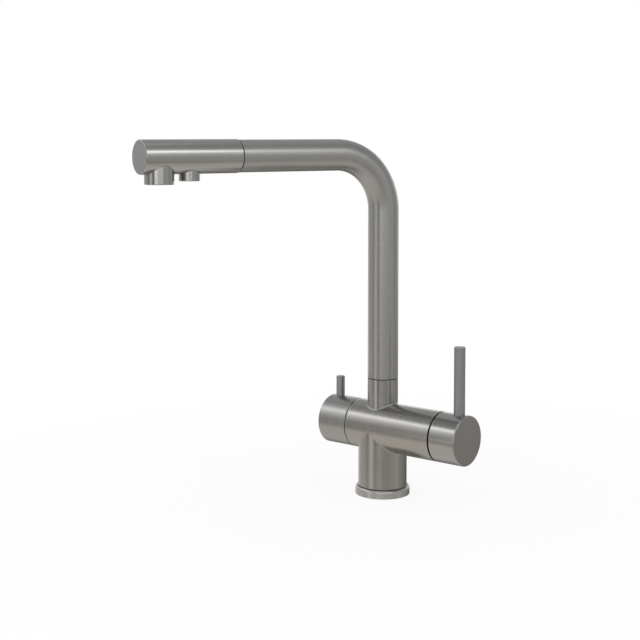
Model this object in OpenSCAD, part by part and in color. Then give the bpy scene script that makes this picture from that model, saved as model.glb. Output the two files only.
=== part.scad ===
// Three-way kitchen mixer tap: single-lever mixer on the right, filtered-water valve on the left.
// Millimetres. The origin is on the worktop, on the pillar's axis. +Z is up, +X is the mixer side
// and -Y is the front, where the user stands.

/* [Pillar] */
// Outside diameter of the pillar
pillar_d = 44.6; // [44:0.1:44.8]
// Diameter of the hollow under the pillar, which takes the hoses and the fixing studs
pillar_bore_d = 37; // [34:0.5:38]
// Height of the hollow's ceiling over the worktop
ceiling_z = 36; // [32:0.5:38]
// Outside diameter of the base ring
base_ring_d = 50; // [48:0.5:56]
// Height of the base ring
base_ring_h = 8; // [6:0.5:12]
// Thickness of the ledge in the base ring that the pillar stands on
ledge_h = 3; // [2.5:0.1:4]

/* [Barrel] */
// Outside diameter of the cross barrel
barrel_d = 45; // [45:0.5:48]
// Height of the barrel's axis over the worktop
barrel_z = 62; // [60:0.5:70]
// Distance from the pillar's axis to the barrel's mixer end
barrel_right = 64.8; // [62:0.2:75]
// Distance from the pillar's axis to the barrel's filter end
barrel_left = 27; // [25:0.5:36]
// Height of the collar's top, where the spout turns
collar_z = 107; // [104:0.5:120]

/* [Inlets and fixing] */
// Drilled diameter of the inlet threads
inlet_d = 9; // [8:0.1:9.4]
// Depth of the inlet threads
inlet_depth = 10; // [8:0.5:11]
// Drilled diameter of the two stud threads
stud_d = 6.8; // [5:0.1:7]
// Depth of the stud threads
stud_depth = 12; // [8:0.5:12]
// Distance between the two studs
stud_spacing = 26; // [24:0.5:27]
// Diameter of the cored waterways
channel_d = 5.6; // [5:0.1:6]

/* [Spout] */
// Outside diameter of the spout tube and of the collar under it
spout_d = 28; // [28:0.5:32]
// Wall of the spout tube
spout_wall = 1.5; // [1.2:0.1:1.6]
// Height of the arm's axis over the worktop
arm_z = 312.5; // [260:0.5:380]
// Centreline radius of the bend
bend_r = 50.5; // [45:0.5:80]
// Distance from the riser's axis to the end of the tube, where the outlet head starts
arm_len = 151; // [130:0.5:200]
// Angle of the arm at rest, seen from above, from straight ahead
spout_rest_angle = -18.5; // [-60:0.5:60]
// Swing of the spout to each side of straight ahead
spout_swing = 90; // [45:1:90]
// Outside diameter of the filtered-water tube inside the spout
inner_tube_d = 6; // [5:0.1:6.5]
// Bore of the filtered-water tube
inner_tube_bore_d = 4; // [3:0.1:4.4]

/* [Outlet head] */
// Outside diameter of the outlet head
head_d = 29; // [28.6:0.1:32]
// Length of the outlet head
head_len = 89.5; // [86:0.5:120]
// Distance from the head's front face to the centre of the large outlet
aerator_from_tip = 17.8; // [16:0.2:20]
// Outside diameter of the aerator's collar
aerator_d = 24.8; // [23:0.1:25]
// Height that the aerator's collar stands out under the head
aerator_drop = 8.2; // [4:0.1:12]
// Distance between the centres of the two outlets
outlet_spacing = 27.5; // [25:0.1:30]
// Outside diameter of the filtered-water outlet's collar
small_outlet_d = 17.8; // [14:0.1:18]
// Height that the filtered-water collar stands out under the head
small_outlet_drop = 5.8; // [3:0.1:10]
// Width of one honeycomb cell, across its flats
cell_w = 2.2; // [1.6:0.1:2.6]
// Wall between the honeycomb cells
cell_wall = 0.6; // [0.5:0.1:0.8]

/* [Mixer side] */
// Distance from the pillar's axis to the cartridge's tilting pin
pivot_x = 74; // [73.6:0.1:74.4]
// Gap that shows between the barrel and the mixer hub
mixer_gap = 1.4; // [1.2:0.1:1.8]
// Length of the mixer hub
mixer_hub_len = 26.6; // [25:0.2:36]
// Wall of both hubs
hub_wall = 2.2; // [1.8:0.1:2.4]
// Distance from the mixer hub's end face to its lever
lever_inset = 8.7; // [8:0.1:9.2]
// Diameter of the mixer lever
lever_d = 10; // [8:0.5:11]
// Height of the mixer lever over the barrel's axis
lever_len = 82.8; // [60:0.2:120]
// Diameter of the cartridge
cartridge_d = 25; // [25:0.1:25.6]
// Tilt of the lever from closed to fully open
tilt_max = 20; // [12:0.5:20]
// Distance from the tilting pin to the ball that drives the moving disc
drive_arm = 9; // [8.8:0.1:9.1]

/* [Filter side] */
// Gap that shows between the barrel and the filter hub
filter_gap = 0.8; // [0.5:0.1:1.2]
// Length of the filter hub
filter_hub_len = 31; // [29:0.5:40]
// Distance from the filter hub's end face to its lever
filter_lever_inset = 9.1; // [7:0.1:10]
// Diameter of the filter lever
filter_lever_d = 8; // [6:0.5:9]
// Height of the filter lever over the barrel's axis
filter_lever_len = 41.2; // [30:0.2:80]
// Outside diameter of the headwork's thread
headwork_d = 20.9; // [20.4:0.1:21.4]
// Teeth on the valve spindle
spline_teeth = 20; // [16:1:24]

/* [Hidden] */
$fn = 64;
fit_gap = 0.03;
run_gap = 0.05;
play = 0.3;
eps = 0.01;
cut = 1;

// Pillar and base ring
pillar_r = pillar_d / 2;
ring_r = base_ring_d / 2;
ring_foot_w = 5.7;
ring_in_gap = 0.8;
ring_in_r = min(pillar_bore_d / 2 + ring_in_gap, ring_r - ring_foot_w);
bead_max = 3.2;
ring_bead = min(bead_max, ring_r - pillar_r + 0.5);
seal_h = 2;
seal_w = 2.4;
seal_edge = 2.4;
seal_r = ring_r - seal_edge;

// Barrel and collar
barrel_r = barrel_d / 2;
collar_r = spout_d / 2;
riser_floor_up = 20;
riser_floor_z = barrel_z + riser_floor_up;
// Rounding of the hubs' open rims, of turned ends that show, and of small turned ends
edge = 0.5;
end_round = 0.9;
small_round = 0.6;

// Waterways: hot and cold rise on the mixer side, filtered water on the other
inlet_x = 10.5;
inlet_y = 8;
filter_inlet_x = -9;
stud_x = -2;
port_y = 6;
port_up = 4;
port_down = 6.2;
mixed_x = 6.6;
port_d = 4.8;
filter_channel_d = 4.6;
filter_rise = 13;
filter_out_x = -20;

// Spout foot, its bore and what holds it
foot_bore_r = 11;
foot_r = foot_bore_r - run_gap;
foot_floor_gap = 2.4;
foot_low_z = riser_floor_z + foot_floor_gap;
foot_in_tube = 15;
foot_way_r = 7.4;
slip_h = 0.9;
tube_low_z = collar_z + slip_h + run_gap;
tube_in_r = spout_d / 2 - spout_wall;
ring_section = 1.7;
groove_r = foot_r - ring_section;
groove_h = ring_section + 0.6;
low_ring_down = 17.5;
high_ring_down = 5.5;
screw_down = 11.5;
foot_ring_z = [collar_z - low_ring_down, collar_z - high_ring_down];
screw_z = collar_z - screw_down;
screw_r = 2;
screw_in = 9.6;
screw_sunk = 0.2;
seam_depth = 0.6;
stop_in_gap = 0.6;
stop_r = screw_in - stop_in_gap;
stop_h = 2 * screw_r + 2 * play;
stop_spare_angle = 2.2;
stop_margin = asin(screw_r / stop_r) + stop_spare_angle;
turn_min = -spout_swing - spout_rest_angle;
turn_max = spout_swing - spout_rest_angle;
nipple_r = 4.4;
nipple_thread_r = 3.6;
nipple_hex_h = 3;
nipple_len = 15;
nipple_grip = 8;
nipple_top_z = riser_floor_z + nipple_len;
inner_tube_r = inner_tube_d / 2;
inner_low_z = nipple_top_z - nipple_grip;

// Outlet head, measured along the arm from the riser's axis
head_r = head_d / 2;
head_gap = 0.9;
head_start = arm_len + head_gap;
head_end = head_start + head_len;
aerator_t = head_end - aerator_from_tip;
small_t = aerator_t - outlet_spacing;
spigot_len = 15;
spigot_r = tube_in_r - run_gap;
spigot_way_r = 9.4;
chamber_len = 20;
inner_seat_len = 8;
head_ring_back = 8;
head_chamber_end = head_start + chamber_len;
inner_tube_end = head_chamber_end + inner_seat_len;
head_ring_t = arm_len - head_ring_back;
collar_gap = 0.25;
aerator_r = aerator_d / 2;
small_r = small_outlet_d / 2;
gasket_h = 1.2;
aerator_top = -3;
small_top = -6;
collar_wall = 1.4;
lip = 1.2;
mixed_over = 6.6;
mixed_over_d = 8.6;

// Mixer: every place along the barrel is counted from the tilting pin
hub_r = barrel_r;
hub_in_r = hub_r - hub_wall;
rim_x = barrel_right + mixer_gap;
mixer_end_x = rim_x + mixer_hub_len;
rim_swing_r = norm([pivot_x - rim_x - edge, hub_r - edge]) + edge;
dish_r = rim_swing_r + play;
hub_floor_up = 7;
hub_floor_x = pivot_x + hub_floor_up;
lever_x = mixer_end_x - lever_inset;
lever_r = lever_d / 2;
lever_seat = 20.8;
lever_thread_r = 3;
lever_thread_low = 11;
cartridge_r = cartridge_d / 2;
cartridge_depth = 24;
cartridge_floor_x = pivot_x - cartridge_depth;
gasket_t = 1;
peg_r = 1.2;
peg_y = 8;
peg_drop = 4;
peg_len = 1.7;
base_t = 4;
disc_t = 3.5;
kidney_r = norm([port_y, port_up]);
kidney_angle = atan2(port_y, port_up);
kidney_half = 22;
kidney_w = 3.6;
mixed_half = 34;
mixed_w = 4;
pocket_r = 4.6;
pocket_drop = 2.2;
pocket_h = 2;
base_x = cartridge_floor_x + gasket_t;
housing_x = base_x + base_t;
moving_x = housing_x + disc_t + run_gap;
carrier_x = moving_x + disc_t;
carrier_t = 4.9;
rotor_x = carrier_x + play;
rotor_shoulder_x = carrier_x + carrier_t + play;
rotor_top = 2.4;
shoulder_down = 4;
housing_top = 2.2;
rotor_end_x = pivot_x + rotor_top;
housing_shoulder_x = pivot_x - shoulder_down;
housing_end_x = pivot_x + housing_top;
housing_in_r = 10.5;
housing_neck_r = 11.4;
rotor_neck_r = 9;
rotor_skirt_r = housing_in_r - run_gap;
fixed_disc_r = housing_in_r - fit_gap;
moving_disc_r = 8.6;
disc_travel = drive_arm * sin(tilt_max);
disc_offset = -disc_travel / 2;
ball_x = pivot_x - drive_arm;
ball_r = 2.6;
socket_r = ball_r + 0.3;
stem_w = 7;
stem_neck_r = 2.1;
stem_slot = 12.4;
stem_back = 4.6;
stem_seat_len = 8;
carrier_w = 13;
pin_r = 1.5;
nut_r = 16;
nut_in_r = cartridge_r + 0.1;
nut_lip_h = 1.6;
nut_window_r = housing_neck_r + 0.2;
dome_r = hub_in_r - 0.5;
dome_down = 11;
dome_low_x = pivot_x - dome_down;
dome_top_x = housing_shoulder_x + nut_lip_h;
dome_lip_h = 1.2;
dome_window_r = housing_neck_r + 0.4;
grub_r = 2.5;
grub_len = 7;

// Filter side: every place is counted from the barrel's end
filter_rim_x = -barrel_left - filter_gap;
filter_end_x = filter_rim_x - filter_hub_len;
filter_hub_solid = 14.5;
filter_hub_floor_x = filter_end_x + filter_hub_solid;
filter_lever_x = filter_end_x + filter_lever_inset;
filter_lever_r = filter_lever_d / 2;
filter_thread_r = 2.5;
filter_lever_low = 12;
headwork_r = headwork_d / 2 - fit_gap;
headwork_len = 14;
headwork_end_x = -barrel_left + headwork_len;
seat_t = 1.2;
hex_w = 24;
hex_h = 5;
headwork_neck_r = 8;
headwork_neck_len = 7;
headwork_groove_w = 1.6;
headwork_groove_in = 1.2;
cage_r = 8.2;
fdisc_t = 2.6;
spindle_r = 4;
spindle_flange_r = 7.6;
spindle_flange_t = 2;
fdisc_r = cage_r - fit_gap;
fmoving_r = cage_r - play;
fdisc_x = headwork_end_x - fdisc_t;
fmoving_x = fdisc_x - run_gap - fdisc_t;
spindle_x = fmoving_x - spindle_flange_t;
cage_end_x = spindle_x - play;
spline_r = spindle_r - 0.2;
spline_depth = 0.45;
spline_len = 9;
spindle_end_x = filter_hub_floor_x - spline_len;
sector = 76;
sector_in_r = 2;
sector_edge = 1.4;
sector_out_r = cage_r - sector_edge;
seat_edge = 1;
grub_gap = 0.1;

STEEL = [0.62, 0.61, 0.59];
BRASS = [0.78, 0.66, 0.36];
CERAMIC = [0.9, 0.9, 0.88];
RUBBER = [0.12, 0.12, 0.12];
PLASTIC = [0.85, 0.86, 0.88];
DARK = [0.2, 0.2, 0.21];

// Frames

// Puts the child's Z axis along the barrel, starting at x
module along_barrel(x) {
  translate([x, 0, barrel_z])
    rotate([0, 90, 0])
      children();
}

// A solid rod along the barrel's direction, off the barrel's axis by y and up
module rod_x(x0, x1, r, y = 0, up = 0) {
  translate([x0, y, barrel_z + up])
    rotate([0, 90, 0])
      cylinder(r = r, h = x1 - x0);
}

// A ring along the barrel's axis
module ring_x(x0, x1, r_out, r_in) {
  difference() {
    rod_x(x0, x1, r_out);
    rod_x(x0 - cut, x1 + cut, r_in);
  }
}

// Turns the spout's pieces to where the arm points at rest
module at_spout() {
  rotate([0, 0, spout_rest_angle])
    children();
}

// Puts the child's Z axis along the arm, t from the riser's axis
module on_arm(t) {
  translate([0, -t, arm_z])
    rotate([90, 0, 0])
      children();
}

// A ring or tube on the Z axis
module ring_z(z0, z1, r_out, r_in) {
  translate([0, 0, z0])
    difference() {
      cylinder(r = r_out, h = z1 - z0);
      translate([0, 0, -cut])
        cylinder(r = r_in, h = z1 - z0 + 2 * cut);
    }
}

// A round seal lying in the plane across Z
module o_ring(r_out, section) {
  rotate_extrude()
    translate([r_out - section / 2, 0])
      circle(d = section, $fn = 32);
}

// The spout's path as a solid rod: bend, riser and arm, all laid out from the bend's centre,
// so that their end faces meet exactly
module spout_path(r, z0, t1) {
  bend_z = arm_z - bend_r;
  translate([0, -bend_r, bend_z])
    rotate([90, 0, 90]) {
      rotate_extrude(angle = 90)
        translate([bend_r, 0])
          circle(r = r);
      translate([bend_r, 0, 0])
        rotate([90, 0, 0])
          cylinder(r = r, h = bend_z - z0);
      translate([bend_r - t1, bend_r, 0])
        rotate([90, 0, 90])
          cylinder(r = r, h = t1 - bend_r);
    }
}

// A rod turned from bar along Z, with rounded edges at its two ends
module turned_rod(r, h, low, high) {
  rotate_extrude()
    union() {
      square([r - low, low + eps]);
      translate([0, low])
        square([r, h - low - high]);
      translate([r - low, low])
        circle(r = low);
      translate([0, h - high - eps])
        square([r - high, high + eps]);
      translate([r - high, h - high])
        circle(r = high);
    }
}

// Body

module tap_body() {
  color(STEEL)
    difference() {
      union() {
        translate([0, 0, ledge_h])
          cylinder(r = pillar_r, h = barrel_z - ledge_h);
        rod_x(-barrel_left, barrel_right, barrel_r);
        translate([0, 0, barrel_z])
          cylinder(r = collar_r, h = collar_z - barrel_z);
      }
      translate([0, 0, -cut])
        cylinder(d = pillar_bore_d, h = ceiling_z + cut);
      inlet_holes();
      waterways();
      mixer_seat();
      headwork_bore();
      riser_bore();
    }
}

// The threads that the hoses and the fixing studs screw into, from below
module inlet_holes() {
  for (side = [-1, 1]) {
    translate([inlet_x, side * inlet_y, ceiling_z - cut])
      cylinder(d = inlet_d, h = inlet_depth + cut);
    translate([stud_x, side * stud_spacing / 2, ceiling_z - cut])
      cylinder(d = stud_d, h = stud_depth + cut);
  }
  translate([filter_inlet_x, 0, ceiling_z - cut])
    cylinder(d = inlet_d, h = inlet_depth + cut);
}

module waterways() {
  // hot and cold, up and across to the cartridge
  for (side = [-1, 1]) {
    translate([inlet_x, side * inlet_y, ceiling_z])
      cylinder(d = channel_d, h = barrel_z + port_up - ceiling_z);
    rod_x(inlet_x, cartridge_floor_x + eps, channel_d / 2, side * port_y, port_up);
  }
  // mixed water, back from the cartridge and up to the spout
  rod_x(mixed_x, cartridge_floor_x + eps, channel_d / 2, 0, -port_down);
  translate([mixed_x, 0, barrel_z - port_down])
    cylinder(d = channel_d, h = riser_floor_z - barrel_z + port_down + cut);
  // filtered water, up and across to the headwork
  translate([filter_inlet_x, 0, ceiling_z])
    cylinder(d = channel_d, h = barrel_z - ceiling_z);
  rod_x(headwork_end_x + seat_t - eps, filter_inlet_x, filter_channel_d / 2);
  // and back over the headwork to the nipple under the spout
  translate([filter_out_x, 0, barrel_z])
    cylinder(d = filter_channel_d, h = filter_rise);
  rod_x(filter_out_x, 0, filter_channel_d / 2, 0, filter_rise);
  translate([0, 0, barrel_z + filter_rise])
    cylinder(r = nipple_thread_r + fit_gap, h = riser_floor_z - barrel_z - filter_rise + cut);
}

// The bore for the cartridge and its nut, and the dished end that the hub's rim swings in
module mixer_seat() {
  rod_x(cartridge_floor_x, barrel_right + cut, nut_r + fit_gap);
  translate([pivot_x, 0, barrel_z])
    sphere(r = dish_r);
  for (side = [-1, 1])
    rod_x(cartridge_floor_x - peg_len - play, cartridge_floor_x + cut, peg_r, side * peg_y, -peg_drop);
}

module headwork_bore() {
  rod_x(-barrel_left - cut, headwork_end_x + seat_t, headwork_d / 2);
}

module riser_bore() {
  translate([0, 0, riser_floor_z])
    cylinder(r = foot_bore_r, h = collar_z - riser_floor_z + cut);
  translate([0, foot_bore_r - cut, screw_z])
    rotate([-90, 0, 0])
      cylinder(r = screw_r + fit_gap, h = collar_r);
}

module base_ring() {
  color(STEEL)
    rotate_extrude()
      difference() {
        union() {
          translate([ring_in_r, 0])
            square([ring_r - ring_bead - ring_in_r, base_ring_h]);
          translate([ring_r - ring_bead, base_ring_h - ring_bead])
            circle(r = ring_bead);
          translate([ring_r - ring_bead - eps, 0])
            square([ring_bead + eps, base_ring_h - ring_bead]);
        }
        translate([0, ledge_h])
          square([pillar_r + fit_gap, base_ring_h]);
        translate([seal_r - seal_w, -cut])
          square([seal_w, seal_h + cut]);
      }
}

module base_seal() {
  color(RUBBER)
    ring_z(0, seal_h, seal_r - fit_gap, seal_r - seal_w + fit_gap);
}

module slip_ring() {
  color(DARK)
    ring_z(collar_z, collar_z + slip_h, collar_r - seam_depth, foot_bore_r + play);
}

// A headless screw with a hexagonal socket, tip at the origin, along +Z
module grub(r, len) {
  tip_h = r * 0.45;
  socket_r = r * 0.55;
  difference() {
    union() {
      cylinder(r1 = socket_r, r2 = r, h = tip_h);
      translate([0, 0, tip_h])
        cylinder(r = r, h = len - tip_h);
    }
    translate([0, 0, len * 0.6])
      cylinder(r = socket_r, h = len, $fn = 6);
  }
}

module spout_stop_screw() {
  color(STEEL)
    translate([0, screw_in, screw_z])
      rotate([-90, 0, 0])
        grub(screw_r, collar_r - screw_in - screw_sunk);
}

module filter_nipple() {
  color(BRASS)
    difference() {
      union() {
        translate([0, 0, barrel_z + filter_rise + filter_channel_d / 2])
          cylinder(r = nipple_thread_r, h = riser_floor_z - barrel_z - filter_rise);
        translate([0, 0, riser_floor_z])
          cylinder(r = nipple_r, h = nipple_top_z - riser_floor_z);
        translate([0, 0, riser_floor_z])
          cylinder(r = nipple_r / cos(30), h = nipple_hex_h, $fn = 6);
      }
      translate([0, 0, barrel_z])
        cylinder(r = inner_tube_bore_d / 2, h = nipple_top_z);
      translate([0, 0, inner_low_z - play])
        cylinder(r = inner_tube_r + run_gap, h = nipple_top_z);
    }
}

// Spout

module spout_tube() {
  color(STEEL)
    at_spout()
      difference() {
        spout_path(spout_d / 2, tube_low_z, arm_len);
        spout_path(tube_in_r, tube_low_z - cut, arm_len + cut);
      }
}

// Turns in the collar on two seals; the stop screw runs in its middle groove
module spout_foot() {
  color(BRASS)
    difference() {
      union() {
        translate([0, 0, foot_low_z])
          cylinder(r = foot_r, h = tube_low_z - foot_low_z);
        translate([0, 0, tube_low_z])
          cylinder(r = tube_in_r - fit_gap, h = foot_in_tube);
      }
      translate([0, 0, foot_low_z - cut])
        cylinder(r = foot_way_r, h = foot_in_tube + collar_z);
      for (z = foot_ring_z)
        ring_z(z - groove_h / 2, z + groove_h / 2, foot_r + cut, groove_r);
      translate([0, 0, screw_z - stop_h / 2])
        rotate([0, 0, 90 - turn_max - stop_margin])
          rotate_extrude(angle = turn_max - turn_min + 2 * stop_margin)
            translate([stop_r, 0])
              square([foot_r, stop_h]);
    }
}

module foot_o_rings() {
  color(RUBBER)
    for (z = foot_ring_z)
      translate([0, 0, z])
        o_ring(foot_r, ring_section - run_gap);
}

module inner_filter_tube() {
  color(PLASTIC)
    at_spout()
      difference() {
        spout_path(inner_tube_r, inner_low_z, inner_tube_end);
        spout_path(inner_tube_bore_d / 2, inner_low_z - cut, inner_tube_end + cut);
      }
}

// Outlet head

// A vertical cylinder in the head, at t along the arm, from z0 to z1 over the arm's axis
module in_head(t, z0, z1, r) {
  translate([0, -t, arm_z + z0])
    cylinder(r = r, h = z1 - z0);
}

module outlet_head() {
  color(STEEL)
    at_spout()
      difference() {
        union() {
          on_arm(head_start)
            turned_rod(head_r, head_len, edge, end_round);
          on_arm(arm_len - spigot_len)
            cylinder(r = spigot_r, h = spigot_len + head_gap);
        }
        // chamber behind the spigot, and the seat of the inner tube
        on_arm(arm_len - spigot_len - cut)
          cylinder(r = spigot_way_r, h = head_chamber_end - arm_len + spigot_len + cut);
        on_arm(head_chamber_end - cut)
          cylinder(r = inner_tube_r + fit_gap, h = inner_tube_end - head_chamber_end + cut);
        on_arm(inner_tube_end - cut)
          cylinder(r = inner_tube_bore_d / 2, h = small_t - inner_tube_end + cut);
        // mixed water passes over the filtered-water outlet
        translate([0, 0, mixed_over])
          on_arm(head_chamber_end - cut)
            cylinder(d = mixed_over_d, h = aerator_t - head_chamber_end + cut);
        // outlets
        in_head(aerator_t, -head_r - cut, aerator_top + gasket_h, aerator_r + collar_gap);
        in_head(aerator_t, aerator_top, mixed_over, aerator_r - 2 * collar_wall);
        in_head(small_t, -head_r - cut, small_top + gasket_h, small_r + collar_gap);
        in_head(small_t, small_top, 0, small_r - 2 * collar_wall);
        // seal groove
        on_arm(head_ring_t - groove_h / 2)
          difference() {
            cylinder(r = spigot_r + cut, h = groove_h);
            cylinder(r = spigot_r - ring_section, h = groove_h);
          }
      }
}

module head_ring() {
  color(DARK)
    at_spout()
      on_arm(arm_len)
        difference() {
          cylinder(r = spout_d / 2 - seam_depth, h = head_gap);
          translate([0, 0, -cut])
            cylinder(r = spigot_r + fit_gap, h = head_gap + 2 * cut);
        }
}

module head_o_ring() {
  color(RUBBER)
    at_spout()
      on_arm(head_ring_t)
        o_ring(spigot_r, ring_section - run_gap);
}

// A threaded outlet collar with a lip that holds its insert; z counts from the arm's axis
module outlet_collar(t, r, drop, top) {
  at_spout()
    difference() {
      translate([0, -t, arm_z - head_r - drop])
        turned_rod(r, head_r + drop + top, small_round, edge);
      in_head(t, -head_r - drop + lip, top + cut, r - collar_wall);
      in_head(t, -head_r - drop - cut, top, r - 2 * collar_wall);
    }
}

module outlet_gasket(t, r, top) {
  at_spout()
    translate([0, 0, arm_z])
      translate([0, -t, 0])
        ring_z(top, top + gasket_h, r - fit_gap, r - 2 * collar_wall);
}

// Honeycomb: hexagonal cells on a triangular grid, as many as fit inside the radius
module honeycomb(r, h) {
  pitch = cell_w + cell_wall;
  rows = floor(r / (pitch * cos(30)));
  for (j = [-rows : rows], i = [-rows : rows]) {
    x = (i + (abs(j) % 2) / 2) * pitch;
    y = j * pitch * cos(30);
    if (norm([x, y]) < r - cell_w / cos(30) / 2)
      translate([x, y, -cut])
        rotate([0, 0, 30])
          cylinder(d = cell_w / cos(30), h = h + 2 * cut, $fn = 6);
  }
}

// A plastic cup with a honeycomb floor, which straightens the jet
module jet_insert(t, r, drop, top, floor_h) {
  low = -head_r - drop + lip;
  at_spout()
    translate([0, -t, arm_z + low])
      difference() {
        cylinder(r = r - collar_wall - fit_gap, h = top - low);
        translate([0, 0, floor_h])
          cylinder(r = r - 2 * collar_wall, h = top - low);
        honeycomb(r - 2 * collar_wall, floor_h);
      }
}

module aerator_collar() {
  color(STEEL)
    outlet_collar(aerator_t, aerator_r, aerator_drop, aerator_top);
}

module aerator_insert() {
  color(PLASTIC)
    jet_insert(aerator_t, aerator_r, aerator_drop, aerator_top, 4);
}

module aerator_gasket() {
  color(RUBBER)
    outlet_gasket(aerator_t, aerator_r, aerator_top);
}

module filter_outlet_collar() {
  color(STEEL)
    outlet_collar(small_t, small_r, small_outlet_drop, small_top);
}

module filter_outlet_insert() {
  color(PLASTIC)
    jet_insert(small_t, small_r, small_outlet_drop, small_top, 3);
}

module filter_outlet_gasket() {
  color(RUBBER)
    outlet_gasket(small_t, small_r, small_top);
}

// Mixer cartridge

// The three round ports: hot and cold above, mixed water below
module ports(x0, x1, d) {
  for (side = [-1, 1])
    rod_x(x0, x1, d / 2, side * port_y, port_up);
  rod_x(x0, x1, d / 2, 0, -port_down);
}

module cartridge_gasket() {
  color(RUBBER)
    difference() {
      rod_x(cartridge_floor_x, base_x, cartridge_r - play);
      ports(cartridge_floor_x - cut, base_x + cut, port_d);
      for (side = [-1, 1])
        rod_x(cartridge_floor_x - cut, base_x + cut, peg_r, side * peg_y, -peg_drop);
    }
}

module cartridge_base() {
  color(DARK)
    union() {
      difference() {
        rod_x(base_x, housing_x, cartridge_r);
        ports(base_x - cut, housing_x + cut, port_d);
      }
      for (side = [-1, 1])
        rod_x(cartridge_floor_x - peg_len, base_x + eps, peg_r - fit_gap, side * peg_y, -peg_drop);
    }
}

module cartridge_housing() {
  color(PLASTIC)
    difference() {
      union() {
        rod_x(housing_x, housing_shoulder_x, cartridge_r);
        rod_x(housing_shoulder_x - eps, housing_end_x, housing_neck_r);
      }
      rod_x(housing_x - cut, rotor_shoulder_x + play / 2, housing_in_r);
      rod_x(housing_x, housing_end_x + cut, rotor_neck_r + run_gap);
    }
}

// Ceramic disc with two kidney-shaped inlets and a wide outlet
module fixed_disc() {
  color(CERAMIC)
    difference() {
      rod_x(housing_x, housing_x + disc_t, fixed_disc_r);
      for (side = [-1, 1])
        disc_slot(housing_x, side * kidney_angle, kidney_half, kidney_r, kidney_w);
      disc_slot(housing_x, 180, mixed_half, port_down, mixed_w);
    }
}

// A kidney-shaped slot through a disc, centred at an angle from straight up
module disc_slot(x, middle, half, r, w) {
  along_barrel(x - cut)
    rotate([0, 0, 180 + middle - half])
      rotate_extrude(angle = 2 * half)
        translate([r - w / 2, 0])
          square([w, disc_t + 2 * cut]);
}

// Ceramic disc with a blind pocket, which slides and turns over the ports
module moving_disc() {
  color(CERAMIC)
    difference() {
      rod_x(moving_x, moving_x + disc_t, moving_disc_r, 0, disc_offset);
      rod_x(moving_x - cut, moving_x + pocket_h, pocket_r, 0, disc_offset - pocket_drop);
    }
}

// Plastic driver on the moving disc: the stem's ball works in its socket
module disc_carrier() {
  color(DARK)
    difference() {
      intersection() {
        rod_x(carrier_x, carrier_x + carrier_t, moving_disc_r, 0, disc_offset);
        translate([carrier_x - cut, -carrier_w / 2, barrel_z - cartridge_r])
          cube([carrier_t + 2 * cut, carrier_w, cartridge_d]);
      }
      rod_x(carrier_x - cut, carrier_x + carrier_t + cut, socket_r);
    }
}

// Turns in the housing with the lever, guides the carrier and holds the tilting pin
module cartridge_rotor() {
  color(PLASTIC)
    difference() {
      union() {
        rod_x(rotor_x, rotor_shoulder_x, rotor_skirt_r);
        rod_x(rotor_shoulder_x - eps, rotor_end_x, rotor_neck_r);
      }
      translate([rotor_x - cut, -carrier_w / 2 - run_gap, barrel_z - cartridge_r])
        cube([rotor_shoulder_x - play / 2 - rotor_x + cut, carrier_w + 2 * run_gap, cartridge_d]);
      translate([rotor_x, -stem_w / 2 - 2 * run_gap, barrel_z - stem_slot / 2])
        cube([cartridge_d, stem_w + 4 * run_gap, stem_slot]);
      translate([pivot_x, -cartridge_r, barrel_z])
        rotate([-90, 0, 0])
          cylinder(r = pin_r + fit_gap, h = cartridge_d);
    }
}

module pivot_pin() {
  color(STEEL)
    translate([pivot_x, -rotor_neck_r + play, barrel_z])
      rotate([-90, 0, 0])
        cylinder(r = pin_r, h = 2 * rotor_neck_r - 2 * play);
}

// Square at the hub, a ball at the disc, and a cross bore for the pin
module mixer_stem() {
  stem_x = pivot_x - stem_back;
  color(BRASS)
    difference() {
      union() {
        translate([stem_x, -stem_w / 2, barrel_z - stem_w / 2])
          cube([hub_floor_x + stem_seat_len - stem_x, stem_w, stem_w]);
        rod_x(ball_x, stem_x + cut, stem_neck_r);
        translate([ball_x, 0, barrel_z])
          sphere(r = ball_r);
      }
      translate([pivot_x, -cartridge_r, barrel_z])
        rotate([-90, 0, 0])
          cylinder(r = pin_r + run_gap, h = cartridge_d);
    }
}

// Screws into the barrel over the cartridge and presses on its shoulder
module cartridge_nut() {
  color(BRASS)
    difference() {
      rod_x(base_x, dome_top_x, nut_r);
      rod_x(base_x - cut, housing_shoulder_x, nut_in_r);
      rod_x(base_x, dome_top_x + cut, nut_window_r);
    }
}

// Ball-shaped ring round the nut, which closes the gap when the hub tilts
module dome_cover() {
  color(STEEL)
    difference() {
      intersection() {
        translate([pivot_x, 0, barrel_z])
          sphere(r = dome_r);
        rod_x(dome_low_x, dome_top_x + dome_lip_h, hub_r);
      }
      rod_x(dome_low_x - cut, dome_top_x, nut_r + fit_gap);
      rod_x(dome_low_x, dome_top_x + 2 * cut, dome_window_r);
    }
}

// A hub turned from bar: rounded edges, a hollow for the valve and a solid end.
// Built from its open rim at z = 0 towards its end face.
module hub_blank(len, r, hollow) {
  difference() {
    turned_rod(r, len, edge, end_round);
    translate([0, 0, -cut])
      cylinder(r = hub_in_r, h = hollow + cut);
  }
}

// The lever's seat and thread, and the grub screw's hole on the far side
module hub_holes(x, seat_r, thread_r, thread_low, grub_x) {
  translate([x, 0, barrel_z + lever_seat])
    cylinder(r = seat_r + fit_gap, h = hub_r);
  translate([x, 0, barrel_z + thread_low])
    cylinder(r = thread_r + fit_gap, h = hub_r);
  translate([grub_x, 0, barrel_z - hub_r - cut])
    cylinder(r = grub_r + fit_gap, h = hub_r + cut);
}

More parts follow.
